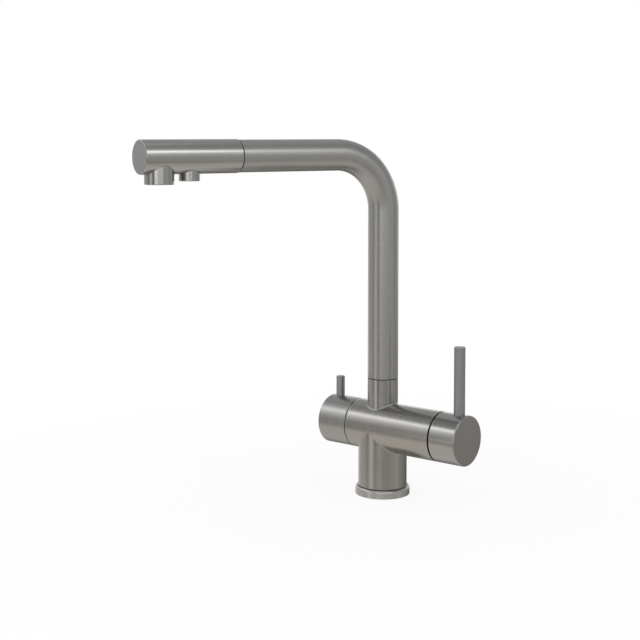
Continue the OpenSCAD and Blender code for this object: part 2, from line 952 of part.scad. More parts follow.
module mixer_hub() {
  color(STEEL)
    difference() {
      along_barrel(rim_x)
        hub_blank(mixer_hub_len, hub_r, hub_floor_x - rim_x);
      translate([hub_floor_x - cut, -stem_w / 2 - fit_gap, barrel_z - stem_w / 2 - fit_gap])
        cube([stem_seat_len + 2 * cut, stem_w + 2 * fit_gap, stem_w + 2 * fit_gap]);
      hub_holes(lever_x, lever_r, lever_thread_r, lever_thread_low, lever_x);
    }
}

// A pin lever: round bar with a rounded top and a threaded end below
module pin_lever(x, r, thread_r, thread_low, top) {
  translate([x, 0, barrel_z + lever_seat])
    turned_rod(r, top - lever_seat, edge, end_round);
  translate([x, 0, barrel_z + thread_low + play])
    cylinder(r = thread_r, h = lever_seat - thread_low);
}

module mixer_lever() {
  color(STEEL)
    pin_lever(lever_x, lever_r, lever_thread_r, lever_thread_low, lever_len);
}

module mixer_grub_screw() {
  color(DARK)
    translate([lever_x, 0, barrel_z - stem_w / 2])
      rotate([180, 0, 0])
        grub(grub_r, grub_len);
}

// Filter valve

module filter_headwork() {
  neck_end_x = -barrel_left - hex_h - headwork_neck_len;
  color(BRASS)
    difference() {
      union() {
        rod_x(-barrel_left, headwork_end_x, headwork_r);
        along_barrel(-barrel_left - hex_h)
          cylinder(d = hex_w / cos(30), h = hex_h, $fn = 6);
        rod_x(neck_end_x, -barrel_left - hex_h + eps, headwork_neck_r);
      }
      rod_x(cage_end_x, headwork_end_x + cut, cage_r);
      rod_x(neck_end_x - cut, headwork_end_x, spindle_r + run_gap);
      // the way out to the side, over the moving disc
      translate([filter_out_x, 0, barrel_z])
        cylinder(d = filter_channel_d, h = headwork_d);
      // groove of the seal under the hexagon
      rod_ring_groove(-barrel_left, headwork_groove_w, headwork_r, headwork_groove_in);
    }
}

// A groove cut round a rod on the barrel's axis
module rod_ring_groove(x, w, r, depth) {
  difference() {
    rod_x(x, x + w, r + cut);
    rod_x(x - cut, x + w + cut, r - depth);
  }
}

module filter_headwork_seal() {
  color(RUBBER)
    ring_x(
      -barrel_left + run_gap, -barrel_left + headwork_groove_w - run_gap,
      headwork_r, headwork_r - headwork_groove_in + fit_gap
    );
}

module filter_seat_seal() {
  color(RUBBER)
    ring_x(headwork_end_x, headwork_end_x + seat_t, cage_r, filter_channel_d / 2 + seat_edge);
}

// Two opposite sectors through a valve disc, turned about the barrel's axis
module quarter_ports(x, turned, r_out) {
  for (side = [0, 180])
    along_barrel(x - cut)
      rotate([0, 0, turned + side - sector / 2])
        rotate_extrude(angle = sector)
          translate([sector_in_r, 0])
            square([r_out - sector_in_r, fdisc_t + 2 * cut]);
}

module filter_fixed_disc() {
  color(CERAMIC)
    difference() {
      rod_x(fdisc_x, headwork_end_x, fdisc_r);
      quarter_ports(fdisc_x, 0, sector_out_r);
    }
}

// Closed at rest: its open sectors stand a quarter turn from the fixed disc's
module filter_moving_disc() {
  color(CERAMIC)
    difference() {
      rod_x(fmoving_x, fmoving_x + fdisc_t, fmoving_r);
      quarter_ports(fmoving_x, 90, cage_r + cut);
    }
}

// The toothed outline of the spindle's end
module spline_outline(r) {
  polygon([for (i = [0 : 2 * spline_teeth - 1])
    let (a = i * 180 / spline_teeth, q = i % 2 == 0 ? r : r - spline_depth)
      [q * cos(a), q * sin(a)]]);
}

module filter_spindle() {
  color(BRASS)
    union() {
      rod_x(spindle_x, fmoving_x, spindle_flange_r);
      rod_x(filter_hub_floor_x, spindle_x + cut, spindle_r);
      along_barrel(spindle_end_x)
        linear_extrude(filter_hub_floor_x - spindle_end_x + cut)
          spline_outline(spline_r);
    }
}

module filter_hub() {
  color(STEEL)
    difference() {
      translate([filter_rim_x, 0, barrel_z])
        rotate([0, -90, 0])
          hub_blank(filter_hub_len, hub_r, filter_rim_x - filter_hub_floor_x);
      along_barrel(spindle_end_x - play)
        linear_extrude(filter_hub_floor_x - spindle_end_x + play + cut)
          spline_outline(spline_r + 2 * run_gap);
      hub_holes(filter_lever_x, filter_lever_r, filter_thread_r, filter_lever_low, filter_lever_x);
    }
}

module filter_lever() {
  color(STEEL)
    pin_lever(filter_lever_x, filter_lever_r, filter_thread_r, filter_lever_low, filter_lever_len);
}

module filter_grub_screw() {
  color(DARK)
    translate([filter_lever_x, 0, barrel_z - spline_r - grub_gap])
      rotate([180, 0, 0])
        grub(grub_r, grub_len);
}

tap_body();
base_ring();
base_seal();
slip_ring();
spout_stop_screw();
filter_nipple();
spout_tube();
spout_foot();
foot_o_rings();
inner_filter_tube();
outlet_head();
head_ring();
head_o_ring();
aerator_collar();
aerator_insert();
aerator_gasket();
filter_outlet_collar();
filter_outlet_insert();
filter_outlet_gasket();
cartridge_gasket();
cartridge_base();
cartridge_housing();
fixed_disc();
moving_disc();
disc_carrier();
cartridge_rotor();
pivot_pin();
mixer_stem();
cartridge_nut();
dome_cover();
mixer_hub();
mixer_lever();
mixer_grub_screw();
filter_headwork();
filter_seat_seal();
filter_headwork_seal();
filter_fixed_disc();
filter_moving_disc();
filter_spindle();
filter_hub();
filter_lever();
filter_grub_screw();
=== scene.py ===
# %% [markdown]
# # A brushed-steel kitchen mixer tap
#
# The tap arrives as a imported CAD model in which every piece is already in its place, at its real
# size, and already rides on the body that moves it. This file is about looks only: the camera, the
# light and the finish of every surface.
#
# One could model the tap again here, but the turned forms are exact in the CAD model, so they stay,
# and the work goes into what CAD can't hold: brushed grain that follows each form, roughness that
# changes along it, and a studio whose reflections draw the shapes.

# %% Load the tap
import math

import bpy
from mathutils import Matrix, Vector


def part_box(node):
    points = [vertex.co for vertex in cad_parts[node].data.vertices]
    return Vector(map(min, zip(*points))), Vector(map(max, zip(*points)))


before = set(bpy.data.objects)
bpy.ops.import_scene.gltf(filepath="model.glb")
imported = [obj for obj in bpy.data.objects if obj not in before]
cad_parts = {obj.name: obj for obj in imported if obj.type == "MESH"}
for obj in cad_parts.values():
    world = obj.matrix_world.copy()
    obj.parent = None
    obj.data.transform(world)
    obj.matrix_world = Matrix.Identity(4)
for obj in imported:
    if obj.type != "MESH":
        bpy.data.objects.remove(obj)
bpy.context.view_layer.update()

# %% [markdown]
# ## Places that the finishes need
#
# The grain of a turned piece runs round its axis, so each finish has to know where that axis is. The
# axes are read from the boxes of the CAD pieces instead of being typed again, and so they follow the
# model when it changes.

# %% Read the axes from the pieces
MM = 0.001


def middle(node, axis):
    low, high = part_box(node)
    return (low[axis] + high[axis]) / 2


barrel_z = middle("mixer_hub", 2)
barrel_r = (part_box("mixer_hub")[1].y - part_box("mixer_hub")[0].y) / 2
pillar_axis = Vector((0, 0, 0))
barrel_axis = Vector((0, 0, barrel_z))
outlet = Vector((middle("aerator_collar", 0), middle("aerator_collar", 1), 0))
arm_turn = math.atan2(outlet.x, -outlet.y)
spout_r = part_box("spout_tube")[1].x
arm_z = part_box("spout_tube")[1].z - spout_r
arm_axis = Vector((0, 0, arm_z))
arm_direction = Vector((math.sin(arm_turn), -math.cos(arm_turn), 0))
print("barrel axis at", round(barrel_z / MM, 2), "mm, arm axis at", round(arm_z / MM, 2), "mm")
print("the arm is turned", round(math.degrees(arm_turn), 2), "degrees from straight ahead")

# %% [markdown]
# ## Camera
#
# The photograph was taken with a long lens from the right, a little over the top of the tap. The
# place and the lens below came from fitting the outline of the CAD model to the outline in the
# picture. The lens looks almost level and is shifted down a little, as product photographers do to
# keep upright edges upright. Depth of field stays off, because every piece should be sharp.

# %% Camera
CAMERA_PLACE = (0.7100, -0.9519, 0.3337)
CAMERA_AZIMUTH = 39.511
CAMERA_PITCH = 4.085
LENS_MM = 73.27
FRAME_SHIFT = -0.15


def add_camera():
    data = bpy.data.cameras.new("camera")
    data.lens = LENS_MM
    data.sensor_width = 36
    data.shift_y = FRAME_SHIFT
    camera = bpy.data.objects.new("camera", data)
    camera.location = CAMERA_PLACE
    camera.rotation_euler = (math.radians(90 - CAMERA_PITCH), 0, math.radians(CAMERA_AZIMUTH))
    bpy.context.scene.collection.objects.link(camera)
    bpy.context.scene.camera = camera
    return camera


camera = add_camera()
print("camera", round(camera.location.length, 2), "m from the tap's foot")

# %% [markdown]
# ## Small helpers for shader nodes
#
# Node materials get long when every node and link is written out. These helpers make one node, link
# whatever is a socket and set whatever is a number, so that a material reads like a formula.

# %% Node helpers
def feed(tree, socket, value):
    if isinstance(value, bpy.types.NodeSocket):
        tree.links.new(value, socket)
    elif value is not None:
        socket.default_value = value


def add_node(tree, kind, inputs=(), **settings):
    node = tree.nodes.new(kind)
    for name, value in settings.items():
        setattr(node, name, value)
    for key, value in dict(inputs).items():
        feed(tree, node.inputs[key], value)
    return node


def calc(tree, operation, a, b=None):
    return add_node(tree, "ShaderNodeMath", {0: a, 1: b}, operation=operation).outputs[0]


def vector_calc(tree, operation, a, b=None):
    node = add_node(tree, "ShaderNodeVectorMath", {0: a, 1: b}, operation=operation)
    scalar = operation in ("DOT_PRODUCT", "LENGTH")
    return node.outputs["Value" if scalar else "Vector"]


def split(tree, vector):
    return add_node(tree, "ShaderNodeSeparateXYZ", {0: vector}).outputs


def join(tree, x, y, z):
    return add_node(tree, "ShaderNodeCombineXYZ", {0: x, 1: y, 2: z}).outputs[0]


def spread(tree, value, low, high, to_low, to_high):
    inputs = {0: value, 1: low, 2: high, 3: to_low, 4: to_high}
    return add_node(tree, "ShaderNodeMapRange", inputs).outputs[0]


def noise(tree, vector, scale, detail=2.0):
    node = add_node(tree, "ShaderNodeTexNoise", {"Vector": vector, "Scale": scale, "Detail": detail})
    return node.outputs[0]


def tint(tree, amount, dark, light):
    node = add_node(tree, "ShaderNodeMix", data_type="RGBA")
    feed(tree, node.inputs[0], amount)
    feed(tree, node.inputs[6], (*dark, 1))
    feed(tree, node.inputs[7], (*light, 1))
    return node.outputs[2]


def new_material(name):
    material = bpy.data.materials.new(name)
    material.use_nodes = True
    return material, material.node_tree, material.node_tree.nodes["Principled BSDF"]


print("helpers ready")

# %% [markdown]
# ## Which way the grain runs
#
# A belt or a lathe leaves scratches that run round a turned piece. Two numbers describe the place of
# a point for that: how far along the piece it is, and where round the axis it is. The first one
# takes the fine noise, the second hardly changes it, and the result is thin rings.
#
# On a flat end face the distance along doesn't change, so the distance from the axis is added to it:
# the rings then go on over the edge and across the face, as they do on a lathe.
#
# The same direction is handed to the shader as its tangent. Scratches spread a highlight across
# themselves, and so the tangent lies along the piece.

# %% Grain frames
def object_place(tree):
    return add_node(tree, "ShaderNodeTexCoord").outputs["Object"]


def in_world(tree, vector):
    inputs = {0: vector}
    settings = {"vector_type": "VECTOR", "convert_from": "OBJECT", "convert_to": "WORLD"}
    return add_node(tree, "ShaderNodeVectorTransform", inputs, **settings).outputs[0]


def round_axis(tree, place, origin, direction):
    """Along the axis plus out from it, the unit vector away from it, and the axis itself."""
    offset = vector_calc(tree, "SUBTRACT", place, tuple(origin))
    along = vector_calc(tree, "DOT_PRODUCT", offset, tuple(direction))
    axis_part = add_node(tree, "ShaderNodeVectorMath", {0: tuple(direction)}, operation="SCALE")
    feed(tree, axis_part.inputs["Scale"], along)
    away = vector_calc(tree, "SUBTRACT", offset, axis_part.outputs[0])
    along_and_out = calc(tree, "ADD", along, vector_calc(tree, "LENGTH", away))
    return along_and_out, vector_calc(tree, "NORMALIZE", away), tuple(direction)


def turned(origin, direction):
    """The grain frame of a piece turned round one axis."""
    def grain_frame(tree):
        return round_axis(tree, object_place(tree), origin, direction)
    return grain_frame


print("grain frames ready")

# %% [markdown]
# ## The grain of the bent spout
#
# The spout is one tube that goes up, round a bend and out. Its grain still runs round the tube, so
# "along" is now the length of the path. In the plane of the arm, `out` is the distance from the
# riser's axis. The bend angle is an arctangent that is held at nought below the bend and at a right
# angle past it, and one formula then covers riser, bend and arm without a visible joint.
#
# Place and normal are both taken in the spout's own space, so the grain stays where it is on the
# spout when it swivels. The radius of the bend is the one size here that no box can tell, so it is
# written out.

# %% Spout path
bend_r = 50.5 * MM
bend_z = arm_z - bend_r


def along_spout(tree):
    place = object_place(tree)
    out = vector_calc(tree, "DOT_PRODUCT", place, tuple(arm_direction))
    height = split(tree, place)[2]
    over = calc(tree, "MAXIMUM", calc(tree, "SUBTRACT", height, bend_z), 0.0)
    short = calc(tree, "MAXIMUM", calc(tree, "SUBTRACT", bend_r, out), 0.0)
    angle = calc(tree, "ARCTAN2", over, short)
    path = calc(tree, "ADD", calc(tree, "MINIMUM", height, bend_z), calc(tree, "MULTIPLY", angle, bend_r))
    path = calc(tree, "ADD", path, calc(tree, "MAXIMUM", calc(tree, "SUBTRACT", out, bend_r), 0.0))
    lean = calc(tree, "SINE", angle)
    axis = join(
        tree,
        calc(tree, "MULTIPLY", lean, arm_direction.x),
        calc(tree, "MULTIPLY", lean, arm_direction.y),
        calc(tree, "COSINE", angle),
    )
    return path, add_node(tree, "ShaderNodeTexCoord").outputs["Normal"], axis


print("the bend starts", round(bend_z / MM, 1), "mm over the worktop")

# %% [markdown]
# ## The grain of the body
#
# The body is a pillar, a cross barrel and a collar in one casting, so it has two grain directions.
# A point belongs to the barrel where it lies no further from the barrel's axis than the barrel's
# own radius. Everything else is brushed round the upright axis.

# %% Body casting
SKIN = 0.04 * MM


def barrel_share(tree):
    """1 on the barrel and 0 on pillar and collar."""
    x, y, z = split(tree, object_place(tree))
    from_axis = vector_calc(tree, "LENGTH", join(tree, 0.0, y, calc(tree, "SUBTRACT", z, barrel_z)))
    return calc(tree, "LESS_THAN", from_axis, barrel_r + SKIN)


def on_body(tree):
    place = object_place(tree)
    across = round_axis(tree, place, barrel_axis, (1, 0, 0))
    upright = round_axis(tree, place, pillar_axis, (0, 0, 1))
    on_barrel = barrel_share(tree)
    path = add_node(tree, "ShaderNodeMix", {0: on_barrel, 2: upright[0], 3: across[0]}).outputs[0]
    away = add_node(tree, "ShaderNodeMix", data_type="VECTOR")
    axis = add_node(tree, "ShaderNodeMix", data_type="VECTOR")
    for node, item in ((away, 1), (axis, 2)):
        feed(tree, node.inputs[0], on_barrel)
        feed(tree, node.inputs[4], upright[item])
        feed(tree, node.inputs[5], across[item])
    return path, away.outputs[1], axis.outputs[1]


print("barrel radius", round(barrel_r / MM, 2), "mm")

# %% [markdown]
# ## Brushed stainless steel
#
# Brushed steel is a mirror with scratches. From a step away no scratch is seen by itself: they make
# the highlight soft along the piece and leave it crisp round the piece. Close up there are fine
# rings, broader bands where the belt pressed harder, and slow clouds in the colour.
#
# The finish is built from those three scales. The fine rings go into the bump, the bands into
# roughness and colour, and the clouds into the colour alone. All of it could also be painted on an
# image, but a formula stays sharp at any distance and needs no unwrapping.

# %% Scales and shades of the steel
RING_SCALE = 5200.0
BAND_SCALE = 420.0
CLOUD_SCALE = 28.0
NOISE_MOST = (0.3, 0.7)
PLAIN_STEEL = ((0.30, 0.296, 0.289), (0.36, 0.355, 0.347))
BRIGHT_STEEL = ((0.38, 0.375, 0.367), (0.45, 0.444, 0.435))
COOL_STEEL = ((0.258, 0.262, 0.268), (0.31, 0.315, 0.322))
print("rings of", round(1 / RING_SCALE / MM, 2), "mm in bands of", round(1 / BAND_SCALE / MM, 1), "mm")

# %% [markdown]
# ## Edges
#
# No edge of a real tap is perfectly sharp, and the thin bright line along it is what tells the eye
# that it is metal. A Bevel node bends the shading near an edge as if it were rounded, so the mesh
# stays as it is. Its radius may differ from place to place:
#
# - most edges are broken by a few tenths of a millimetre;
# - where pillar, barrel and collar run into each other the casting is ground by hand, so the radius
#   there is wider;
# - the bead of the base ring is soft, and its lip beside the pillar is not.

# %% Edges
THIN_EDGE = 0.3 * MM
WIDE_EDGE = 2.2 * MM
ROOT_HALF = 27 * MM
ROOT_FOOT = 20 * MM
ROOT_TOP = 95 * MM
RING_LIP = (23.3 * MM, 24.3 * MM)
LIP_EDGE = 0.1 * MM
BEAD_EDGE = 0.9 * MM


def thin_edge(tree):
    return THIN_EDGE


def from_pillar(tree):
    x, y, z = split(tree, object_place(tree))
    return vector_calc(tree, "LENGTH", join(tree, x, y, 0.0))


def ring_edge(tree):
    """Soft over the bead, thin on the lip beside the pillar."""
    return spread(tree, from_pillar(tree), *RING_LIP, LIP_EDGE, BEAD_EDGE)


def body_edge(tree):
    """Wide where pillar, barrel and collar run into each other, thin at the seams."""
    x, y, z = split(tree, object_place(tree))
    beside = calc(tree, "LESS_THAN", calc(tree, "ABSOLUTE", x), ROOT_HALF)
    above = calc(tree, "GREATER_THAN", z, ROOT_FOOT)
    below = calc(tree, "LESS_THAN", z, ROOT_TOP)
    at_root = calc(tree, "MULTIPLY", beside, calc(tree, "MULTIPLY", above, below))
    return spread(tree, at_root, 0, 1, THIN_EDGE, WIDE_EDGE)


print("edges of", round(THIN_EDGE / MM, 1), "mm, and", round(WIDE_EDGE / MM, 1), "mm at the roots")

# %% [markdown]
# ## One function for every steel piece
#
# All steel pieces share one recipe, and differ in the grain's direction, the roughness, the depth of
# the grain, the edges and the shade. Each of these is therefore an argument.
#
# The place that the ring noise looks up is the distance along the piece, plus a very small step in
# the direction away from the axis. Without that step a ring would be perfectly even all the way
# round; with it, a ring slowly gets stronger and weaker, as scratches do.

# %% Brushed steel
ROUND_STEP = 0.004
BAND_IN_SHADE = 0.55
BAND_IN_ROUGHNESS = 0.6
ROUGHNESS_SWING = 0.035
SCRATCH_DEPTH = 0.004 * MM
STRETCH = 0.45


def blend(tree, first, second, share):
    """The first value by its share, and the second by the rest."""
    kept = calc(tree, "MULTIPLY", first, share)
    return calc(tree, "ADD", kept, calc(tree, "MULTIPLY", second, 1 - share))


def brushed_steel(name, grain_frame, roughness=0.24, grain=0.2, edge=thin_edge, shades=PLAIN_STEEL):
    material, tree, shader = new_material(name)
    path, away, axis = grain_frame(tree)
    step = add_node(tree, "ShaderNodeVectorMath", {0: away}, operation="SCALE")
    step.inputs["Scale"].default_value = ROUND_STEP
    ring_place = vector_calc(tree, "ADD", step.outputs[0], join(tree, path, 0.0, 0.0))
    fine = noise(tree, ring_place, RING_SCALE, 3.0)
    bands = noise(tree, ring_place, BAND_SCALE, 2.0)
    clouds = noise(tree, object_place(tree), CLOUD_SCALE, 2.0)
    feed(tree, shader.inputs["Base Color"], tint(tree, blend(tree, bands, clouds, BAND_IN_SHADE), *shades))
    rough = blend(tree, bands, fine, BAND_IN_ROUGHNESS)
    rough_range = (roughness - ROUGHNESS_SWING, roughness + ROUGHNESS_SWING)
    feed(tree, shader.inputs["Roughness"], spread(tree, rough, *NOISE_MOST, *rough_range))
    rounded = add_node(tree, "ShaderNodeBevel", {0: edge(tree)}, samples=6)
    bump = add_node(tree, "ShaderNodeBump", {"Height": fine, "Normal": rounded.outputs[0]})
    bump.inputs["Strength"].default_value = grain
    bump.inputs["Distance"].default_value = SCRATCH_DEPTH
    feed(tree, shader.inputs["Normal"], bump.outputs[0])
    feed(tree, shader.inputs["Tangent"], in_world(tree, axis))
    shader.inputs["Metallic"].default_value = 1.0
    shader.inputs["Anisotropic"].default_value = STRETCH
    return material


print("one recipe, scratches", round(SCRATCH_DEPTH / MM * 1000), "micrometres deep")

# %% [markdown]
# ## The steel finishes
#
# The turned hub and the outlet head are the most mirror-like, the bent spout is softer, and the
# filter hub softer than the mixer hub. The base ring is a shade lighter than the rest.
#
# Two places get a tint laid over their colour: the barrel looks a little warmer than the pillar, and the
# ring's lip beside the pillar is painted darker than its bead, a painted shade for the pillar's shadow.

# %% Tints over part of a piece
BARREL_TINT = (1.0, 0.985, 0.95)
# The ring's lip gets a painted shade: its colour is darkened as if the pillar shadowed it.
LIP_PAINTED_SHADE = (0.3, 0.3, 0.3)


def painted_lip_shade_share(tree):
    """1 on the ring's lip, where the shade is painted, and 0 on its bead."""
    return spread(tree, from_pillar(tree), *RING_LIP, 1, 0)


def lay_over(material, where, over):
    tree = material.node_tree
    colour = tree.nodes["Principled BSDF"].inputs["Base Color"]
    veil = tint(tree, where(tree), (1, 1, 1), over)
    node = add_node(tree, "ShaderNodeMix", data_type="RGBA", blend_type="MULTIPLY")
    for key, value in {0: 1.0, 6: colour.links[0].from_socket, 7: veil}.items():
        feed(tree, node.inputs[key], value)
    feed(tree, colour, node.outputs[2])


print("tints for the barrel and the ring's lip")

# %% Steel finishes
upright_grain = turned(pillar_axis, (0, 0, 1))
across_grain = turned(barrel_axis, (1, 0, 0))
arm_grain = turned(arm_axis, arm_direction)
across_steel = brushed_steel("brushed_across", across_grain, roughness=0.21)
upright_steel = brushed_steel("brushed_upright", upright_grain)
soft_across_steel = brushed_steel("brushed_soft", across_grain, roughness=0.3)
body_steel = brushed_steel("brushed_body", on_body, edge=body_edge)
ring_look = {"roughness": 0.34, "edge": ring_edge, "shades": BRIGHT_STEEL}
ring_steel = brushed_steel("brushed_ring", upright_grain, **ring_look)
lay_over(body_steel, barrel_share, BARREL_TINT)
# Painted shade: the colour of the ring's lip beside the pillar is darkened.
lay_over(ring_steel, painted_lip_shade_share, LIP_PAINTED_SHADE)
spout_steel = brushed_steel("brushed_spout", along_spout, roughness=0.33)
head_steel = brushed_steel("brushed_head", arm_grain, roughness=0.22)
print("steel finishes ready")

# %% [markdown]
# ## Steel collars of the outlets, and the levers
#
# Each of these is a small turned piece with an upright axis of its own, so each gets its own grain
# frame, read from its box. The collars are crisp. The levers are soft, a shade darker and cooler.

# %% Small turned pieces
COLLAR_LOOK = {"roughness": 0.2, "grain": 0.12}
LEVER_LOOK = {"roughness": 0.36, "grain": 0.15, "shades": COOL_STEEL}


def upright_piece(node, look):
    axis = Vector((middle(node, 0), middle(node, 1), 0))
    return brushed_steel("brushed_" + node, turned(axis, (0, 0, 1)), **look)


small_steel = {}
for place in ("aerator", "filter_outlet"):
    small_steel[place + "_collar"] = upright_piece(place + "_collar", COLLAR_LOOK)
for side in ("mixer", "filter"):
    small_steel[side + "_lever"] = upright_piece(side + "_lever", LEVER_LOOK)
print("finishes for", ", ".join(small_steel))

# %% [markdown]
# ## Plain materials
#
# Inside sit brass, ceramic, rubber and plastic. Most of it never shows, but the outlets' inserts are
# seen from below and the dark rings show in the gaps, and a model that is taken apart shows it all.
# One function makes them all, from a pair of colours, a roughness, the size of the grain and the
# height of its bumps.

# %% Plain materials
PATCH_SCALE = 60.0
PLAIN_SWING = 0.06
PLAIN_BUMP = 0.6


def plain(name, dark, light, roughness, grain_mm, bump_mm, metallic=0.0):
    material, tree, shader = new_material(name)
    place = object_place(tree)
    grain = noise(tree, place, 1 / (grain_mm * MM), 3.0)
    patches = noise(tree, place, PATCH_SCALE, 2.0)
    feed(tree, shader.inputs["Base Color"], tint(tree, patches, dark, light))
    rough_range = (roughness - PLAIN_SWING, roughness + PLAIN_SWING)
    feed(tree, shader.inputs["Roughness"], spread(tree, grain, *NOISE_MOST, *rough_range))
    bump = add_node(tree, "ShaderNodeBump", {"Height": grain})
    bump.inputs["Distance"].default_value = bump_mm * MM
    bump.inputs["Strength"].default_value = PLAIN_BUMP
    feed(tree, shader.inputs["Normal"], bump.outputs[0])
    shader.inputs["Metallic"].default_value = metallic
    return material


print("plain recipe ready")

# %% [markdown]
# ## What is inside
#
# The brass of the filter valve and of the big nut is plated, as its edge shows in the seams. The
# white plastic lets a little light in, which keeps it from looking like chalk.

# %% Inner materials
GLOW_IN = 0.15
GLOW_DEPTH = 2 * MM

brass = plain("machined_brass", (0.62, 0.44, 0.17), (0.74, 0.54, 0.24), 0.28, 0.3, 0.01, metallic=1.0)
plated_brass = plain("plated_brass", (0.20, 0.20, 0.195), (0.27, 0.27, 0.262), 0.3, 0.3, 0.01, metallic=1.0)
blackened = {"roughness": 0.36, "grain_mm": 0.25, "bump_mm": 0.01, "metallic": 1.0}
hard_steel = plain("blackened_steel", (0.10, 0.10, 0.105), (0.16, 0.16, 0.165), **blackened)
rubber = plain("seal_rubber", (0.018, 0.018, 0.018), (0.03, 0.03, 0.031), 0.62, 0.2, 0.02)
ceramic = plain("valve_ceramic", (0.80, 0.79, 0.76), (0.86, 0.85, 0.82), 0.16, 0.4, 0.002)
white_plastic = plain("white_plastic", (0.70, 0.71, 0.72), (0.78, 0.79, 0.79), 0.36, 0.5, 0.01)
white_shader = white_plastic.node_tree.nodes["Principled BSDF"]
white_shader.inputs["Subsurface Weight"].default_value = GLOW_IN
white_shader.inputs["Subsurface Scale"].default_value = GLOW_DEPTH
black_plastic = plain("black_plastic", (0.022, 0.022, 0.024), (0.036, 0.036, 0.038), 0.42, 0.3, 0.015)
print("plain materials:", len(bpy.data.materials), "materials in the file so far")

# %% [markdown]
# ## Hand out the finishes
#
# The record's slots say what every piece is made of. Each slot has one material, and the steel
# pieces have one by their form.

# %% Assign
BY_SLOT = {
    "hard_steel": hard_steel,
    "brass": brass,
    "seal_rubber": rubber,
    "valve_ceramic": ceramic,
    "white_plastic": white_plastic,
    "black_plastic": black_plastic,
    "brushed_steel": upright_steel,
}
BY_NODE = {
    "tap_body": body_steel,
    "base_ring": ring_steel,
    "spout_tube": spout_steel,
    "outlet_head": head_steel,
    "mixer_hub": across_steel,
    "filter_hub": soft_across_steel,
    "dome_cover": across_steel,
    "cartridge_nut": plated_brass,
    "filter_headwork": plated_brass,
    **small_steel,
}


def dress(node, piece):
    slot = piece.material_slots[0]
    slot.material = BY_NODE.get(node) or BY_SLOT[slot.material.name.split(".")[0]]


for node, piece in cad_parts.items():
    dress(node, piece)
print("finishes given to", len(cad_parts), "pieces")

# %% [markdown]
# ## Studio: background
#
# The photograph has a plain white ground. A lamp strong enough to burn the floor out to white would
# burn out the steel as well. A Light Path node tells what kind of ray asks, so the world can simply
# be white to the camera and to reflections, and much dimmer as a light.

# %% White world
WORLD_LIGHT = 0.6


def seen_directly(tree):
    """1 for camera, glossy and transmission rays."""
    rays = add_node(tree, "ShaderNodeLightPath").outputs
    either = calc(tree, "MAXIMUM", rays["Is Camera Ray"], rays["Is Glossy Ray"])
    return calc(tree, "MAXIMUM", either, rays["Is Transmission Ray"])


def make_world():
    world = bpy.data.worlds.new("studio")
    world.use_nodes = True
    tree = world.node_tree
    background = tree.nodes["Background"]
    background.inputs["Color"].default_value = (1, 1, 1, 1)
    feed(tree, background.inputs["Strength"], spread(tree, seen_directly(tree), 0, 1, WORLD_LIGHT, 1))
    bpy.context.scene.world = world


make_world()
print("the world is white to look at, and", WORLD_LIGHT, "of that as a light")

# %% [markdown]
# ## Studio: floor
#
# Further out the floor is as white as the world, so that no horizon shows. Near the tap it keeps a
# small share of real shading, so that the soft shadow at the tap's foot stays.

# %% Floor
FLOOR_HALF = 6.0
FLOOR_COLOUR = (0.92, 0.92, 0.915, 1)
SHADOW_FADE = (0.06, 0.5)
NEAR_WHITE = 0.9


def make_floor():
    bpy.ops.mesh.primitive_plane_add(size=2 * FLOOR_HALF)
    floor = bpy.context.object
    floor.name = "floor"
    material, tree, shader = new_material("floor_white")
    shader.inputs["Base Color"].default_value = FLOOR_COLOUR
    shader.inputs["Roughness"].default_value = 0.9
    shader.inputs["Specular IOR Level"].default_value = 0.0
    glow = add_node(tree, "ShaderNodeEmission", {"Strength": 1.0})
    distance = vector_calc(tree, "LENGTH", object_place(tree))
    share = spread(tree, distance, *SHADOW_FADE, NEAR_WHITE, 1.0)
    mix = add_node(tree, "ShaderNodeMixShader")
    feed(tree, mix.inputs[0], calc(tree, "MULTIPLY", share, seen_directly(tree)))
    feed(tree, mix.inputs[1], shader.outputs[0])
    feed(tree, mix.inputs[2], glow.outputs[0])
    feed(tree, tree.nodes["Material Output"].inputs["Surface"], mix.outputs[0])
    floor.data.materials.append(material)
    floor.visible_glossy = False


make_floor()
print("floor of", 2 * FLOOR_HALF, "m, shaded within", SHADOW_FADE[1], "m of the tap")

# %% [markdown]
# ## Studio: cards
#
# Steel shows its surroundings. In an all-white room it would look flat, so photographers stand cards
# round it: the dark and light stripes down the pillar are those cards, and the bright line along the
# barrel and the arm is a long softbox high up on each side.
#
# Directions are counted from the camera, with the right side as plus, and heights as an angle over
# the tap's middle. A card is a strip of a large ball round the tap. It has a list of levels from its
# foot to its top, where 1 is the white of the background, and they are kept on its corners as an
# attribute that the glow reads. So a table describes the whole studio. Real lamps would do too, but
# steel would show their outlines, and each of them would need a reflector of its own.

# %% Levels of the cards
# Each pair is a height in degrees and a level. A card's list is its foot and then its top or band.
LEFT_BAND = [(18, 0.95), (28, 1.35), (34, 2.3), (38, 2.7), (41.5, 2.7), (42.5, 0.4), (58, 0.4), (72, 0.45)]
RIGHT_LIGHT = [(24, 1.15), (29, 1.9), (34, 3.3), (41, 3.3), (44, 1.1), (56, 0.8), (72, 0.6)]
RIGHT_BAND = [(1, 0.62), (6, 0.65), (12, 0.75)] + RIGHT_LIGHT
NEAR_FAR_BAND = [(14, 1.0), (24, 1.15), (35, 1.2), (39, 0.6), (52, 0.5), (72, 0.5)]
FAR_TOP = [(14, 0.55), (26, 0.5), (72, 0.48)]
PLAIN_TOP = [(20, 0.85), (36, 1.0), (48, 0.8), (72, 0.55)]
DULL_TOP = [(20, 0.6), (45, 0.6), (72, 0.55)]

